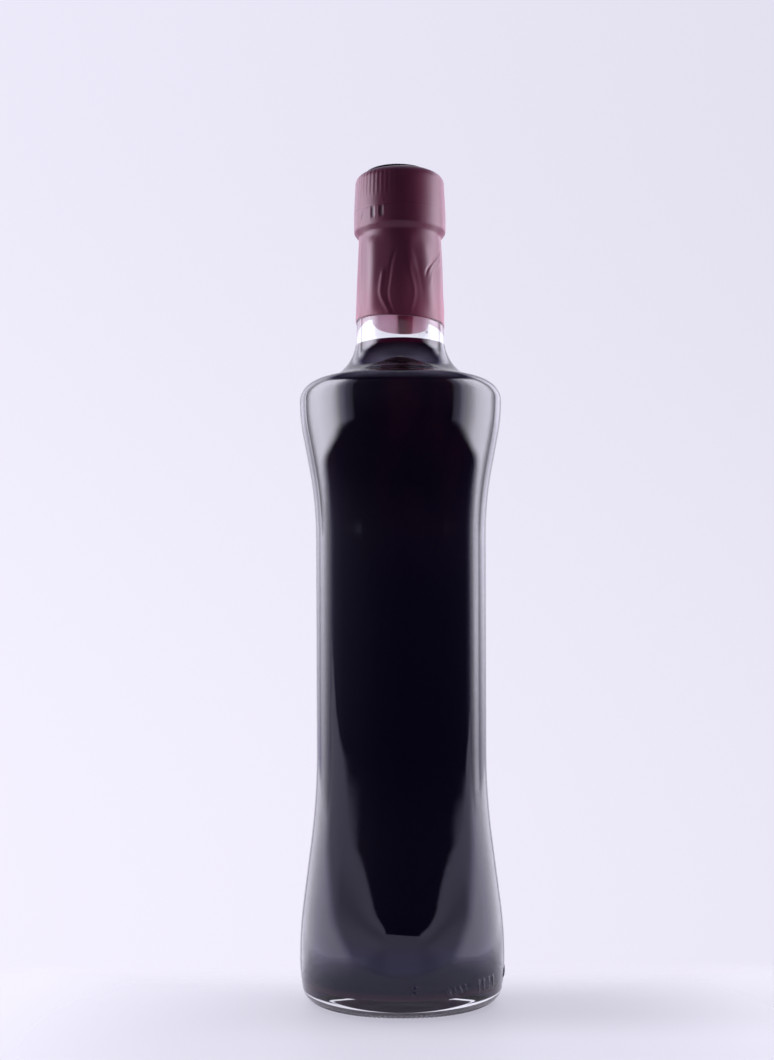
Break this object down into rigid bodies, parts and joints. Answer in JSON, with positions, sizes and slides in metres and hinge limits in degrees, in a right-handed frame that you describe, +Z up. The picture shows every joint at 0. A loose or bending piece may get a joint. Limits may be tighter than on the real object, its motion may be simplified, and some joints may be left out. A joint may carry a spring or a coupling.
{
  "type": "mulberry syrup bottle",
  "caption": "Tall round waisted clear glass bottle filled with near-black syrup, closed by a screw cap under a plum shrink capsule.",
  "frame": {"origin": "middle of the ring that the bottle stands on, at the level of the table", "axes": "+Z up along the bottle's axis, -Y towards the front"},
  "size_m": [0.0702, 0.0702, 0.2832],
  "materials": {
    "clear_glass": "clear flint glass, fire-polished, with faint mould marks at the heel",
    "syrup": "near-black fruit syrup, deep crimson only where it is very thin",
    "black_cap": "black moulded plastic",
    "plum_film": "satin plum shrink film with pleats and the ribs of the cap showing through"
  },
  "bodies": {
    "root": {"bottle": "clear_glass", "syrup": "syrup", "screw_cap": "black_cap", "capsule": "plum_film"}
  },
  "joints": []
}
